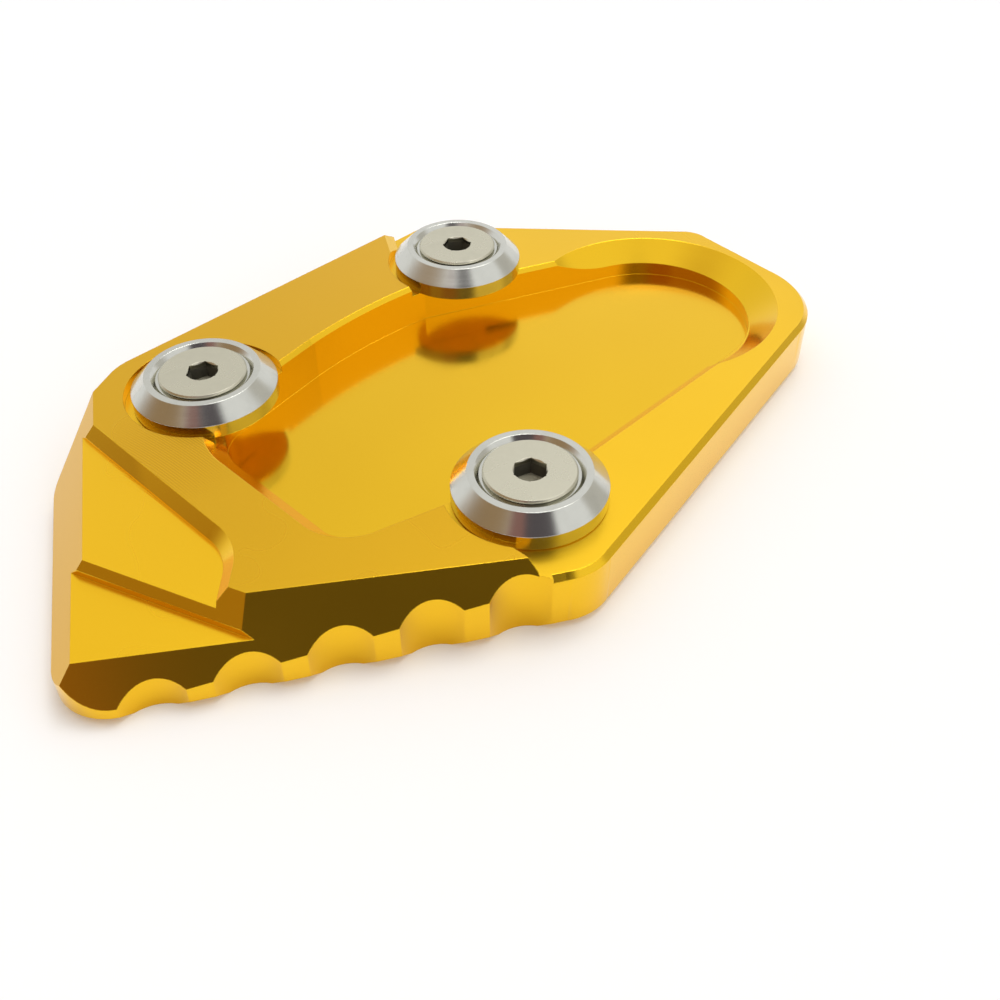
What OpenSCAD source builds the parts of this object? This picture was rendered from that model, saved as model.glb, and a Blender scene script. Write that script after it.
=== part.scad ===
// Foot enlarger for a motorcycle side stand: a milled aluminium plate with a
// pocket for the stand's foot, held by three bevelled washers and their screws.
// Millimetres, +Z up. The origin is at the centre of the plate's underside.
// X runs along the scalloped front wall, +Y towards the back corner.

/* [Plate] */
// Length of the plate along X
plate_length = 114.5; // [110:0.5:120]
// Width of the plate along Y
plate_width = 86.1; // [83:0.5:90]
// Height of the raised left part above the underside
plateau_height = 10.25; // [10:0.05:11]
// Height of the lower right part and of the washers' seats
shelf_height = 8.75; // [8.4:0.05:9]
// Chamfer along the top edge of the lower right part
shelf_chamfer = 0.75; // [0.3:0.05:1]
// Chamfer round the underside
base_chamfer = 1; // [0.5:0.1:1.4]

/* [Left steps] */
// Height of the upper step beside the raised part
ledge_1_height = 8.3; // [8:0.05:8.6]
// Height of the lower step in the front left corner
ledge_2_height = 6.45; // [6:0.05:7]
// Angle of the step faces from the vertical
step_lean = 45; // [38:1:50]
// Height of the upright wall at the foot of the upper step
upright_1 = 0.5; // [0.3:0.05:0.8]
// Height of the upright wall at the foot of the lower step
upright_2 = 0.85; // [0.5:0.05:1.2]

/* [Bevels and scallops] */
// Slope of the front bevel from the horizontal
front_bevel_slope = 45; // [42:1:48]
// Turn of the front bevel from the front wall
front_bevel_turn = 6; // [5:0.5:7]
// Slope of the left bevel from the horizontal
left_bevel_slope = 47; // [44:1:49]
// Radius of the cutter for the scallops
scallop_radius = 5.5; // [5.2:0.1:6]
// Depth of each scallop in the front wall
scallop_depth = 1.57; // [1.2:0.05:1.8]
// Distance between two scallops
scallop_pitch = 10.73; // [10.5:0.05:11]
// Number of scallops
scallop_count = 5; // [3:1:5]

/* [Pocket] */
// Height of the pocket's floor above the underside
floor_height = 3.8; // [3:0.1:4.2]
// Narrow chamfer along the pocket's back edge
pocket_chamfer = 0.6; // [0.3:0.05:0.8]
// Wide chamfer round the pocket's left end and along its near side
lead_chamfer = 2.7; // [2.3:0.1:2.9]
// Radius of the pocket's round right end
pocket_end_radius = 15.3; // [14.5:0.1:15.6]
// Radius of the curved back wall
pocket_back_radius = 75.6; // [74:0.2:78]
// Outer radius of the dished rim round the right end
dish_radius = 19.1; // [18.5:0.1:19.5]
// Height at which the dished rim meets the upright wall
dish_foot_height = 5.4; // [5:0.1:6]

/* [Washers] */
// Width of a washer's collar round the screw's head
washer_collar = 4; // [3.7:0.05:4.2]
// Thickness of the washers
washer_thickness = 4.25; // [4.1:0.05:4.6]
// Width of the washers' outer bevel
washer_bevel = 2.1; // [1.8:0.05:2.2]
// Width of the flat ring inside that bevel
washer_ring = 0.9; // [0.7:0.05:1.1]
// Depth of the groove between the ring and the screw's head
washer_groove = 0.65; // [0.5:0.05:0.8]
// Gap between a washer's edge and the raised part
seat_gap = 1.15; // [0.8:0.05:1.3]

/* [Screws] */
// Nominal diameter of the screws
screw_diameter = 6; // [5.6:0.1:6.2]
// Diameter of the screw heads
head_diameter = 12; // [11.8:0.1:12.4]
// Length of the screws over all
screw_length = 12; // [10:0.5:12.5]
// Width across the flats of the hexagonal sockets
socket_width = 4; // [3.6:0.1:4.2]
// Depth of the hexagonal sockets
socket_depth = 2.5; // [2:0.1:2.8]
// Clearance all round the screws in washers and plate
screw_clearance = 0.1; // [0.05:0.01:0.2]

/* [Hidden] */

$fn = 96;
cut = 1;
hair = 0.01;
plan_x = plate_length / 114.5;
plan_y = plate_width / 86.1;
half_length = plate_length / 2;
half_width = plate_width / 2;
front_y = -half_width;

// Washer seats: plan position and turn of the screw's socket
seats = [[-35.26 * plan_x, 4.08 * plan_y, 15],
         [6.94 * plan_x, 28.18 * plan_y, 54],
         [1.84 * plan_x, -28.23 * plan_y, 11]];

// Corner discs of the outline, anticlockwise from the front left: x, y, radius
outline = [[7 - half_length, 7 + front_y, 7],
           [2.66 * plan_x, 8 + front_y, 8],
           [half_length - 13.6, 7.24 * plan_y, 13.6],
           [45.41 * plan_x, 24.94 * plan_y, 5],
           [5.44 * plan_x, half_width - 6, 6],
           [-41.12 * plan_x, 6.72 * plan_y, 8],
           [6 - half_length, -5.49 * plan_y, 6]];

// Curved part of the pocket's back wall, and the direction that the straight
// part on its left faces, a common tangent with the corner under the first washer
back_arc = [27.68 * plan_x, 27.6 * plan_y - pocket_back_radius];
left_corner = [-27.8 * plan_x, -4 * plan_y, 6.2];
back_facing = tangent([back_arc[0], back_arc[1], pocket_back_radius], left_corner);
arc_start = back_arc + pocket_back_radius * back_facing;
arc_lap = sqrt(10 * hair * pocket_back_radius);
back_corner = arc_start - 18.3 * plan_x * left_of(back_facing);

// Centre of the dished rim, and the corner discs of the pocket; the last one
// is the corner behind the curved part of the back wall
dish = [34.05 * plan_x, 10.5 * plan_y];
pocket = [left_corner,
          [-24.6 * plan_x, -6.7 * plan_y, 12 - lead_chamfer],
          [-20.04 * plan_x, -23.78 * plan_y, 7.5 - lead_chamfer],
          [8.9 * plan_x, -19.03 * plan_y, 4.6 - lead_chamfer],
          [34 * plan_x, 11 * plan_y, pocket_end_radius],
          [back_corner[0], back_corner[1], 0]];

// Foot of the ramp that ends the raised part at the back
end_ramp = [[-1 * plan_x, 30 * plan_y], [-0.2 * plan_x, 50 * plan_y]];
ramp_run = 1.45;

// First step: corner disc at the raised part's level and the directions
// its two legs face. Second step: where its upper edge passes and faces
step_run = tan(step_lean);
step_1 = [-45.05 * plan_x, -29.7 * plan_y, 10];
step_1_faces = [-15, 30];
step_2 = [-32.02 * plan_x, -38.87 * plan_y];
step_2_faces = 50;

head_radius = head_diameter / 2;
washer_radius = head_radius + washer_collar;
bore_radius = washer_radius + seat_gap;
shank_radius = screw_diameter / 2;
head_top = shelf_height + washer_thickness;
head_edge = 0.35;

// Outward normal of the tangent from disc a to disc b
function tangent(a, b) =
    let (v = [b[0] - a[0], b[1] - a[1]], d = norm(v), u = v / d, k = (a[2] - b[2]) / d)
    u * k + [u[1], -u[0]] * sqrt(1 - k * k);
function next(discs, i) = discs[(i + 1) % len(discs)];
function before(discs, i) = discs[(i + len(discs) - 1) % len(discs)];
function rim(a, n) = [a[0], a[1]] + a[2] * n;
function angle(n) = atan2(n[1], n[0]);
function facing(a) = [cos(a), sin(a)];
function left_of(n) = [-n[1], n[0]];

// Radius of a screw's head at the height h above a washer's seat
function cone_radius(h) = head_radius - max(0, washer_thickness - head_edge - h);

// Closed shape round a ring of discs. The discs stand proud by a hair, so
// that arcs and straight edges cross cleanly.
module belt(discs) {
    star(discs);
    for (a = discs)
        if (a[2] > 0)
            translate([a[0], a[1]])
                circle(r = a[2] + hair);
}

// The straight edges of a belt, joined through the discs' centres
module star(discs) {
    polygon([for (i = [0:len(discs) - 1])
             let (a = discs[i], n0 = tangent(before(discs, i), a), n1 = tangent(a, next(discs, i)))
             each (a[2] > 0 ? [rim(a, n0), [a[0], a[1]], rim(a, n1)] : [rim(a, n1)])]);
}

// Prism along the line from p to q; its section is drawn towards the right
// of the line and upwards
module along(p, q, z) {
    translate([q[0], q[1], z])
        rotate([90, 0, angle(q - p) - 90])
            linear_extrude(norm(q - p))
                children();
}

// Lower part of the blank, chamfered all round below and on the right above
module slab() {
    difference() {
        linear_extrude(shelf_height)
            star(outline);
        for (i = [0:len(outline) - 1]) {
            a = outline[i];
            b = next(outline, i);
            n = tangent(a, b);
            along(rim(a, n) - left_of(n), rim(b, n) + left_of(n), 0)
                polygon([[-base_chamfer - cut, -cut], [cut, -cut], [cut, base_chamfer + cut]]);
            if (i > 0 && i < 5)
                along(rim(a, n) - left_of(n), i < 4 ? rim(b, n) + left_of(n) : rim(a, n) + 7 * left_of(n),
                      shelf_height)
                    upper_chamfer(shelf_chamfer);
        }
        along([0.2 * plan_x, front_y], [outline[1][0] + 1, front_y], shelf_height)
            upper_chamfer(shelf_chamfer);
    }
    for (i = [0:len(outline) - 1])
        corner_post(outline[i], i > 0 && i < 5 ? shelf_chamfer : 0);
}

// One round corner with its chamfers below and above, which stand proud
// by a few hairs for the same reason
module corner_post(a, c) {
    r = a[2] + hair;
    low = base_chamfer - 3 * hair;
    high = c > 0 ? c - 3 * hair : 0;
    translate([a[0], a[1], 0]) {
        cylinder(r1 = r - low, r2 = r, h = low);
        translate([0, 0, low])
            cylinder(r = r, h = shelf_height - low - high);
        if (c > 0)
            translate([0, 0, shelf_height - high])
                cylinder(r1 = r, r2 = r - high, h = high);
    }
}

module upper_chamfer(c) {
    polygon([[-c - cut, cut], [cut, cut], [cut, -c - cut]]);
}

// The part of the outline that stands up to the full height
module plateau_plan() {
    intersection() {
        belt(outline);
        polygon([[-half_length - 5, -half_width - 5],
                 [-1.2 * plan_x, -half_width - 5],
                 [-1.2 * plan_x, -41.65 * plan_y],
                 [-3.8 * plan_x, -37.3 * plan_y],
                 [seats[2][0], seats[2][1]],
                 [seats[1][0] - 6, seats[1][1]],
                 [end_ramp[0][0] - 0.4, end_ramp[0][1] + 4],
                 [end_ramp[1][0] - 0.4, half_width + 5],
                 [-half_length - 5, half_width + 5]]);
    }
}

module bevel_cutter(at, turn, slope) {
    translate([at[0], at[1], plateau_height])
        rotate([0, 0, turn])
            rotate([slope, 0, 0])
                translate([-90, -40, 0])
                    cube([180, 80, 20]);
}

// The front bevel stops at the end of the raised part
module front_bevel() {
    intersection() {
        bevel_cutter([-18 * plan_x, front_y + 4.47], -front_bevel_turn, front_bevel_slope);
        translate([-half_length - 10, -half_width - 20, 0])
            cube([half_length + 10 - 1.2 * plan_x, 45, 30]);
    }
}

module left_bevel() {
    intersection() {
        bevel_cutter([6.85 - half_length, 0], -90.8, left_bevel_slope);
        translate([-half_length - 10, -half_width - 10, 0])
            cube([25, plate_width + 20, 30]);
    }
}

module scallops() {
    for (i = [0:scallop_count - 1])
        translate([-3.68 * plan_x - i * scallop_pitch,
                   front_y - scallop_radius + scallop_depth, -cut])
            cylinder(r = scallop_radius, h = plateau_height + 2 * cut, $fn = 72);
}

// Section of a sloping step face above its upright wall of height w, from a
// ledge at height z
module step_section(z, w, out) {
    rise = plateau_height + cut - z;
    polygon([[out - 0.3, w - 0.3 / step_run], [out + (rise - w) * step_run, rise],
             [out - 0.3, rise]]);
}

module first_step() {
    z = ledge_1_height;
    w = upright_1;
    r = step_1[2] - (plateau_height - z - w) * step_run;
    a = [step_1[0], step_1[1], r];
    n0 = facing(step_1_faces[0]);
    n1 = facing(step_1_faces[1]);
    low = rim(a, n0) - 15 * left_of(n0);
    high = rim(a, n1) + 45 * left_of(n1);
    left = -half_length - 20;
    translate([0, 0, z])
        linear_extrude(plateau_height + cut - z) {
            polygon([[left, low[1]], low, rim(a, n0), [a[0], a[1]], rim(a, n1), high,
                     [left, high[1]]]);
            translate([a[0], a[1]])
                circle(r = r + hair);
        }
    along(low, rim(a, n0), z)
        step_section(z, w, 0);
    along(rim(a, n1), high, z)
        step_section(z, w, 0);
    translate([a[0], a[1], z])
        rotate([0, 0, step_1_faces[0] - 12])
            rotate_extrude(angle = step_1_faces[1] - step_1_faces[0] + 24)
                step_section(z, w, r + 3 * hair);
}

// Second step, with everything in front of it
module second_step() {
    z = ledge_2_height;
    w = upright_2;
    rise = plateau_height + cut - z;
    n = facing(step_2_faces);
    foot = step_2 - (plateau_height - z - w) * step_run * n;
    along(foot - 30 * left_of(n), foot + 45 * left_of(n), z)
        polygon([[-60, 0], [0, 0], [0, w], [(rise - w) * step_run, rise], [-60, rise]]);
}

// Section of a chamfer that widens a cut by c over the height c
module widening(c) {
    polygon([[-cut, -c - cut], [c + cut, cut], [-cut, cut]]);
}

// The back wall is curved from the right end to arc_start and then straight
module pocket_walls() {
    out = arc_start - back_arc;
    translate([0, 0, floor_height])
        linear_extrude(plateau_height)
            difference() {
                belt(pocket);
                difference() {
                    polygon([arc_start - 0.1 * out, arc_start + 0.2 * out,
                             [pocket[4][0], half_width + 20], [pocket[4][0], pocket[4][1]]]);
                    translate(back_arc)
                        circle(r = pocket_back_radius + 5 * hair, $fn = 360);
                }
            }
}

// Dished rim round the right end
module dish_cutter() {
    rise = shelf_height - dish_foot_height;
    grow = dish_radius - pocket_end_radius;
    translate([dish[0], dish[1], dish_foot_height])
        cylinder(r1 = pocket_end_radius - 0.1, r2 = dish_radius - 0.1 + grow * cut / rise,
                 h = rise + cut);
}

module pocket_edges() {
    for (i = [1:2]) {
        a = pocket[i];
        c = lead_chamfer;
        n = tangent(a, next(pocket, i));
        along(rim(a, n), rim(next(pocket, i), n), plateau_height)
            widening(c);
        translate([a[0], a[1], plateau_height - c - cut])
            cylinder(r1 = a[2] + 3 * hair - cut, r2 = a[2] + 3 * hair + c + cut,
                     h = c + 2 * cut);
    }
    near = tangent(pocket[3], pocket[4]);
    along(rim(pocket[3], near) - 4 * left_of(near), rim(pocket[4], near), shelf_height)
        widening(lead_chamfer);
    far = tangent(pocket[4], pocket[5]);
    along(rim(pocket[4], far), rim(pocket[4], far) + 22 * left_of(far), shelf_height)
        widening(pocket_chamfer);
    along(arc_start - arc_lap * left_of(back_facing), rim(left_corner, back_facing),
          plateau_height)
        widening(pocket_chamfer);
    r = pocket_back_radius + 5 * hair;
    side = arc_start[0] + arc_lap * back_facing[1] - pocket_chamfer;
    intersection() {
        translate([back_arc[0], back_arc[1], plateau_height - pocket_chamfer - cut])
            cylinder(r1 = r - cut, r2 = r + pocket_chamfer + cut,
                     h = pocket_chamfer + 2 * cut, $fn = 360);
        translate([side, 0, 0])
            cube([2 * plan_x - side, 40, 20]);
    }
}

module seat_cutters() {
    for (s = seats)
        translate([s[0], s[1], shelf_height])
            cylinder(r = bore_radius, h = plateau_height);
}

module screw_holes() {
    for (s = seats)
        translate([s[0], s[1], -cut])
            cylinder(r = shank_radius + screw_clearance, h = plateau_height + 2 * cut);
}

// The plate before the pocket and the cuts on its left
module blank() {
    rise = plateau_height + cut - shelf_height;
    slab();
    difference() {
        translate([0, 0, base_chamfer + 1])
            linear_extrude(plateau_height - base_chamfer - 1)
                plateau_plan();
        along(end_ramp[0], end_ramp[1], shelf_height)
            polygon([[0, 0], [-rise * ramp_run, rise], [6, rise], [6, 0]]);
    }
}

module pocketed() {
    difference() {
        blank();
        pocket_walls();
        dish_cutter();
        pocket_edges();
        seat_cutters();
    }
}

module foot_plate() {
    color([0.9, 0.65, 0.12])
        difference() {
            difference() {
                pocketed();
                first_step();
                second_step();
            }
            left_bevel();
            front_bevel();
            scallops();
            screw_holes();
        }
}

// Washer with a bevelled edge, a groove round the screw's head and a
// countersunk middle
module washer(s) {
    r = washer_radius;
    t = washer_thickness;
    ring_out = r - washer_bevel;
    ring_in = ring_out - washer_ring;
    low = t - washer_groove;
    bore = shank_radius + screw_clearance;
    floor_in = cone_radius(low) + screw_clearance;
    floor_out = min(ring_in - 0.2, floor_in + 0.6);
    color([0.78, 0.79, 0.8])
        translate([s[0], s[1], shelf_height])
            rotate_extrude($fn = 96)
                polygon([[bore, 0], [r - 0.2, 0], [r, 0.2], [r, t - washer_bevel], [ring_out, t],
                         [ring_in, t], [floor_out, low], [floor_in, low],
                         [bore, low - (floor_in - bore)]]);
}

// Countersunk screw with a hexagonal socket
module screw(s) {
    r = head_radius;
    tip = head_top - screw_length;
    low = head_top - head_edge;
    color([0.72, 0.71, 0.68])
        difference() {
            translate([s[0], s[1], 0])
                rotate_extrude($fn = 96)
                    polygon([[0, tip], [shank_radius - 0.6, tip], [shank_radius, tip + 0.6],
                             [shank_radius, low - r + shank_radius], [r, low],
                             [r, head_top - 0.2], [r - 0.2, head_top], [0, head_top]]);
            translate([s[0], s[1], head_top - socket_depth])
                rotate([0, 0, s[2]])
                    cylinder(d = socket_width / cos(30), h = socket_depth + cut, $fn = 6);
            translate([s[0], s[1], head_top - socket_depth - 0.6])
                cylinder(r1 = 0.4, r2 = socket_width / 2 - 0.2, h = 0.61);
            translate([s[0], s[1], head_top - 0.2])
                cylinder(r1 = socket_width / 2, r2 = socket_width / 2 + 0.4, h = 0.4);
        }
}

foot_plate();
washer(seats[0]);  // washer_1
washer(seats[1]);  // washer_2
washer(seats[2]);  // washer_3
screw(seats[0]);  // screw_1
screw(seats[1]);  // screw_2
screw(seats[2]);  // screw_3
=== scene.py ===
import math

import bpy
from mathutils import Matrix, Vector

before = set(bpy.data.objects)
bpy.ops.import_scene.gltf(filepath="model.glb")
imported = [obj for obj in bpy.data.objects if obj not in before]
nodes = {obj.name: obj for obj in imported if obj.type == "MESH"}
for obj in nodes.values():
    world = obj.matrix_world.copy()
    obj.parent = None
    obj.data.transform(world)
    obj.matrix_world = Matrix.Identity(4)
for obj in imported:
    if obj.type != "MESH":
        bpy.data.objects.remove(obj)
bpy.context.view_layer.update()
MM = 0.001

# where a finish, a painted shade or a painted highlight comes in on the plate, from none to all
# of it, in millimetres
ABOVE_POCKET_Z = (4.2, 5.6)
PLATEAU_Z = (9.7, 10.1)
LEDGE_Z = (9.7, 9.4)
LEDGE_X = (-29, -32)
LEFT_END_X = (-44, -46)
MILL_SPOT_REACH = (3, 12)

# the cutter's centre and the middle of the patch where its marks show, in millimetres
MILL_CENTRE = (-118, -62, 0)
MILL_SPOT = (-41, -10, 0)
MILL_WAVES = 18.0
MILL_DEPTH = 0.006

# how a normal's part upwards or leftwards picks faces
FLAT_FACE = (0.985, 0.999)
SLOPED_FACE = (0.3, 0.5)
LEFT_FACE = (-0.5, -0.7)

# anodised gold, 0 to 255 sRGB, with painted copies of it: the plateau and the mill marks' lines
# darker as painted shade, the left ledges lighter as painted highlight, the left end darker as
# painted shade
GOLD_DEEP = (243, 192, 38)
GOLD_LIGHT = (249, 201, 42)
PLATEAU_PAINTED_SHADE = (230, 178, 36)
MILL_MARK_SHADE = (196, 140, 20)
LEDGE_PAINTED_HIGHLIGHT = (253, 200, 36)
LEFT_END_PAINTED_SHADE = (216, 166, 30)
PLATE_EDGE = 0.14

# the screws' sockets: radius, heights and colour of their shade
SOCKET_R = (2.55, 2.35)
SOCKET_Z = (12.95, 12.6)
SOCKET_BOTTOM_Z = (12.5, 12.1)
SOCKET_WALL = (0.9, 0.6)
SOCKET_SHADE = (0.03, 0.03, 0.028, 1)

# the camera that took the photograph
CAMERA_AT = (-31.06, -129.65, 103.69)
CAMERA_AIM = (0.20457, 0.71507, -0.66845)
SENSOR_WIDTH = 36
FOCAL_PIXELS = 1134
PHOTO_PIXELS = 1000

FLOOR_SIZE = 6
FLOOR_DROP = 0.00002
FLOOR_WHITE = 0.92
FLOOR_GLOW = 0.1

# the room as the metal sees it: direction, outer and inner half angle in degrees, colour
SKY = (0.93, 0.93, 0.93, 1)
WALL_BEHIND = ((-0.25, 0.7, 0.66), 34, 10, (0.82, 0.815, 0.8, 1))
LAMP_ABOVE = ((0.25, 0.2, 0.95), 20, 11, (4.6, 4.6, 4.6, 1))
BROWN_LEFT = ((-0.9, -0.3, 0.2), 60, 25, (0.38, 0.25, 0.13, 1))
GREY_RIGHT = ((0.95, 0.083, 0.31), 24, 12, (0.62, 0.6, 0.55, 1))
RED_BY_CAMERA = ((-0.33, -0.68, 0.63), 22, 12, (0.3, 0.15, 0.13, 1))
DARK_CAMERA = ((0.0, -0.72, 0.69), 22, 12, (0.105, 0.09, 0.1, 1))
ROOM = [WALL_BEHIND, LAMP_ABOVE, BROWN_LEFT, GREY_RIGHT, RED_BY_CAMERA, DARK_CAMERA]


def lin(*rgb):
    """Linear colour from 0-255 sRGB."""
    out = []
    for c in rgb:
        c /= 255
        out.append(c / 12.92 if c <= 0.04045 else ((c + 0.055) / 1.055) ** 2.4)
    return (*out, 1)


class Tree:
    """Short names for building the node tree of a material or a world."""

    def __init__(self, owner, output):
        owner.use_nodes = True
        self.owner = owner
        self.nt = owner.node_tree
        self.nt.nodes.clear()
        self.out = self.node(output)
        self.coord = self.node("ShaderNodeTexCoord")

    def node(self, kind, **props):
        n = self.nt.nodes.new(kind)
        for k, v in props.items():
            setattr(n, k, v)
        return n

    def put(self, value, socket):
        """Link an output to the socket, or set the socket to a plain value."""
        if isinstance(value, bpy.types.NodeSocket):
            self.nt.links.new(value, socket)
        else:
            socket.default_value = value

    def math(self, op, a, b=0.0):
        n = self.node("ShaderNodeMath", operation=op)
        self.put(a, n.inputs[0])
        self.put(b, n.inputs[1])
        return n.outputs[0]

    def both(self, *factors):
        """Product of all factors."""
        result = factors[0]
        for f in factors[1:]:
            result = self.math("MULTIPLY", result, f)
        return result

    def vmath(self, op, a, b=(0, 0, 0)):
        n = self.node("ShaderNodeVectorMath", operation=op)
        self.put(a, n.inputs[0])
        self.put(b, n.inputs[1])
        return n.outputs["Value" if op in ("LENGTH", "DOT_PRODUCT", "DISTANCE") else "Vector"]

    def place(self, shift=(0, 0, 0), turn=0.0, scale=(1, 1, 1)):
        """Object coordinates in millimetres, moved, turned about Z and scaled."""
        n = self.node("ShaderNodeMapping", vector_type="TEXTURE")
        self.put(self.coord.outputs["Object"], n.inputs["Vector"])
        n.inputs["Location"].default_value = [c * MM for c in shift]
        n.inputs["Rotation"].default_value = (0, 0, math.radians(turn))
        n.inputs["Scale"].default_value = [MM / s for s in scale]
        return n.outputs["Vector"]

    def split(self, vec):
        n = self.node("ShaderNodeSeparateXYZ")
        self.put(vec, n.inputs[0])
        return n.outputs

    def facing(self):
        """Parts of the surface's own normal."""
        return self.split(self.node("ShaderNodeNewGeometry").outputs["Normal"])

    def noise(self, vec, scale, detail=2.0, rough=0.5):
        n = self.node("ShaderNodeTexNoise")
        self.put(vec, n.inputs["Vector"])
        n.inputs["Scale"].default_value = scale
        n.inputs["Detail"].default_value = detail
        n.inputs["Roughness"].default_value = rough
        return n.outputs["Fac"]

    def rings(self, path, scale, detail=3.0):
        """Noise along one measure only."""
        n = self.node("ShaderNodeTexNoise", noise_dimensions="1D")
        self.put(path, n.inputs["W"])
        n.inputs["Scale"].default_value = scale
        n.inputs["Detail"].default_value = detail
        return n.outputs["Fac"]

    def ramp(self, value, lo, hi, out_lo=0.0, out_hi=1.0):
        """Smooth change from out_lo to out_hi while the value goes from lo to hi."""
        n = self.node("ShaderNodeMapRange", interpolation_type="SMOOTHSTEP")
        self.put(value, n.inputs["Value"])
        for k, v in zip(("From Min", "From Max", "To Min", "To Max"), (lo, hi, out_lo, out_hi)):
            n.inputs[k].default_value = v
        return n.outputs["Result"]

    def mix(self, f, a, b):
        n = self.node("ShaderNodeMix", data_type="RGBA")
        self.put(f, n.inputs["Factor"])
        self.put(a, n.inputs[6])
        self.put(b, n.inputs[7])
        return n.outputs[2]

    def bump(self, height, distance, strength, normal):
        n = self.node("ShaderNodeBump")
        self.put(height, n.inputs["Height"])
        n.inputs["Strength"].default_value = strength
        n.inputs["Distance"].default_value = distance * MM
        self.put(normal, n.inputs["Normal"])
        return n.outputs["Normal"]

    def edge(self, radius):
        """Normal with its edges softened by the radius."""
        n = self.node("ShaderNodeBevel", samples=4)
        n.inputs["Radius"].default_value = radius * MM
        return n.outputs["Normal"]

    def metal(self, color, rough, normal, **more):
        p = self.node("ShaderNodeBsdfPrincipled")
        self.put(color, p.inputs["Base Color"])
        p.inputs["Metallic"].default_value = 1.0
        self.put(rough, p.inputs["Roughness"])
        self.put(normal, p.inputs["Normal"])
        for k, v in more.items():
            self.put(v, p.inputs[k.replace("_", " ")])
        self.put(p.outputs[0], self.out.inputs["Surface"])
        return self.owner


def material(name):
    return Tree(bpy.data.materials.new(name), "ShaderNodeOutputMaterial")


def milling(t, mm):
    """Waves of the end mill's passes, and how strongly they show near the upper step."""
    waves = t.math("SINE", t.both(t.vmath("LENGTH", t.place(shift=MILL_CENTRE)), MILL_WAVES))
    away = t.vmath("DISTANCE", t.vmath("MULTIPLY", mm, (1, 1, 0)), MILL_SPOT)
    return waves, t.ramp(away, *MILL_SPOT_REACH, 1, 0.05)


def gold():
    t = material("gold anodised aluminium")
    mm = t.place()
    x, _, z = t.split(mm)
    left, _, up = t.facing()
    flat = t.ramp(up, *FLAT_FACE)
    raised = t.both(flat, t.ramp(z, *ABOVE_POCKET_Z))
    top = t.both(flat, t.ramp(z, *PLATEAU_Z))
    waves, shown = milling(t, mm)

    brushed = t.noise(t.place(turn=30, scale=(9, 0.25, 1)), 1.0, 3, 0.6)
    height = t.math("ADD", t.both(waves, shown), t.both(brushed, 0.12))
    normal = t.bump(t.both(height, raised), MILL_DEPTH, 0.8, t.edge(PLATE_EDGE))
    normal = t.bump(t.noise(mm, 20.0, 3, 0.6), 0.0003, 0.5, normal)

    cloud = t.noise(mm, 0.035, 2)
    color = t.mix(cloud, lin(*GOLD_DEEP), lin(*GOLD_LIGHT))
    # painted shade: the plateau gets a darker copy of the gold
    color = t.mix(top, color, lin(*PLATEAU_PAINTED_SHADE))
    # the mill marks are real bumps; the darker gold along their waves is painted shade
    mill_mark_shade = t.both(t.ramp(waves, -1, 1, 0, 0.34), shown, top)
    color = t.mix(mill_mark_shade, color, lin(*MILL_MARK_SHADE))
    # painted highlight: the low flat ledges at the left get a lighter copy of the gold
    ledge_highlight = t.both(t.ramp(x, *LEDGE_X), t.ramp(z, *LEDGE_Z), flat)
    color = t.mix(ledge_highlight, color, lin(*LEDGE_PAINTED_HIGHLIGHT))
    # painted shade: the left end's bevel gets a darker copy of the gold for its darker reflection
    left_end_shade = t.both(t.ramp(x, *LEFT_END_X), t.ramp(left, *LEFT_FACE), t.ramp(up, *SLOPED_FACE))
    color = t.mix(left_end_shade, color, lin(*LEFT_END_PAINTED_SHADE))

    rough = t.math("ADD", t.ramp(cloud, 0, 1, 0.11, 0.2), t.both(raised, 0.13))
    return t.metal(color, rough, normal, Coat_Weight=0.06, Coat_Roughness=0.1)


def socket_shade(t, r, z):
    """Darken the walls of the hexagonal socket."""
    inside = t.both(t.ramp(r, *SOCKET_R), t.ramp(z, *SOCKET_Z))
    return t.both(inside, t.ramp(t.facing()[2], *SOCKET_WALL, 0, 0.7))


def turned(name, node, base, rough, rings, depth, edge, socket=False):
    """Metal turned on a lathe round the vertical axis through the node's middle."""
    t = material(name)
    corners = [Vector(c) for c in node.bound_box]
    middle = sum(corners, Vector()) / len(corners) / MM
    pos = t.place(shift=(middle.x, middle.y, 0))
    z = t.split(pos)[2]
    r = t.vmath("LENGTH", t.vmath("MULTIPLY", pos, (1, 1, 0)))

    path = t.math("ADD", r, t.both(z, 0.6))
    normal = t.bump(t.rings(path, rings), depth, 0.7, t.edge(edge))
    normal = t.bump(t.noise(pos, 9.0, 3), 0.001, 0.4, normal)
    haze = t.noise(pos, 0.35, 3)
    color = t.mix(t.ramp(haze, 0.35, 0.7), base, [c * 0.93 for c in base[:3]] + [1])
    rough = t.ramp(haze, 0.3, 0.7, rough * 0.85, rough * 1.15)
    if socket:
        color = t.mix(socket_shade(t, r, z), color, SOCKET_SHADE)
        rough = t.math("MAXIMUM", rough, t.ramp(z, *SOCKET_BOTTOM_Z, 0, 0.85))
    return t.metal(color, rough, normal)


def washer_metal(number, node):
    return turned(f"turned aluminium {number}", node, lin(212, 212, 204), 0.15, 6.0, 0.004, 0.12)


def screw_metal(number, node):
    return turned(f"satin steel {number}", node, lin(206, 202, 182), 0.3, 3.0, 0.003, 0.08, True)


def dress(node, skin):
    node.data.materials.clear()
    node.data.materials.append(skin)


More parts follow.
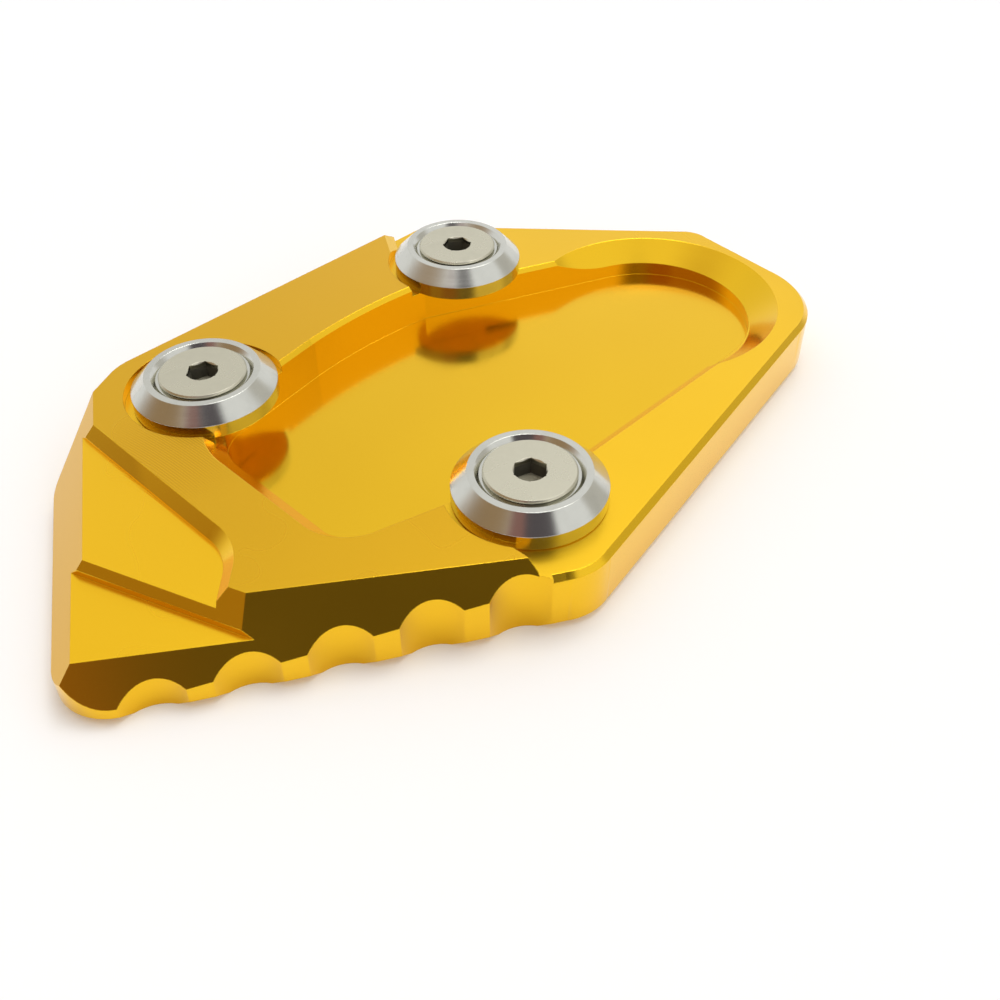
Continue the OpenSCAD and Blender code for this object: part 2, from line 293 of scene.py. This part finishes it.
def floor_paint():
    """White that glows a little, so that it stays white at the picture's edges."""
    t = material("white floor")
    plain = t.node("ShaderNodeBsdfDiffuse")
    plain.inputs["Color"].default_value = (FLOOR_WHITE, FLOOR_WHITE, FLOOR_WHITE, 1)
    glow = t.node("ShaderNodeEmission")
    glow.inputs["Color"].default_value = (1, 1, 1, 1)
    glow.inputs["Strength"].default_value = FLOOR_GLOW
    total = t.node("ShaderNodeAddShader")
    t.put(plain.outputs[0], total.inputs[0])
    t.put(glow.outputs[0], total.inputs[1])
    t.put(total.outputs[0], t.out.inputs["Surface"])
    return t.owner


def patch(t, direction, wide, tight):
    """1 inside the cone of half angle tight round the direction, 0 outside wide."""
    towards = t.vmath("DOT_PRODUCT", t.coord.outputs["Generated"], Vector(direction).normalized())
    return t.ramp(towards, math.cos(math.radians(wide)), math.cos(math.radians(tight)))


def room():
    """Soft white room with a lamp above and the dark space round the camera."""
    t = Tree(bpy.data.worlds.new("room"), "ShaderNodeOutputWorld")
    sky = SKY
    for direction, wide, tight, color in ROOM:
        sky = t.mix(patch(t, direction, wide, tight), sky, color)
    sky = t.mix(t.node("ShaderNodeLightPath").outputs["Is Camera Ray"], sky, (1, 1, 1, 1))
    bg = t.node("ShaderNodeBackground")
    t.put(sky, bg.inputs["Color"])
    bg.inputs["Strength"].default_value = 1.0
    t.put(bg.outputs[0], t.out.inputs["Surface"])
    return t.owner


def photo_camera():
    cam = bpy.data.objects.new("camera", bpy.data.cameras.new("camera"))
    bpy.context.scene.collection.objects.link(cam)
    cam.location = Vector(CAMERA_AT) * MM
    cam.rotation_mode = "QUATERNION"
    cam.rotation_quaternion = Vector(CAMERA_AIM).to_track_quat("-Z", "Y")
    cam.data.sensor_width = SENSOR_WIDTH
    cam.data.lens = FOCAL_PIXELS / PHOTO_PIXELS * SENSOR_WIDTH
    cam.data.clip_start = 0.005
    cam.data.clip_end = 20
    return cam


dress(nodes["foot_plate"], gold())
for number in (1, 2, 3):
    washer, screw = nodes[f"washer_{number}"], nodes[f"screw_{number}"]
    dress(washer, washer_metal(number, washer))
    dress(screw, screw_metal(number, screw))

bpy.context.scene.camera = photo_camera()
bpy.context.scene.world = room()
bpy.context.scene.view_settings.view_transform = "Standard"

bpy.ops.mesh.primitive_plane_add(size=FLOOR_SIZE, location=(0, 0, -FLOOR_DROP))
floor = bpy.context.object
floor.name = "floor"
floor.data.materials.append(floor_paint())
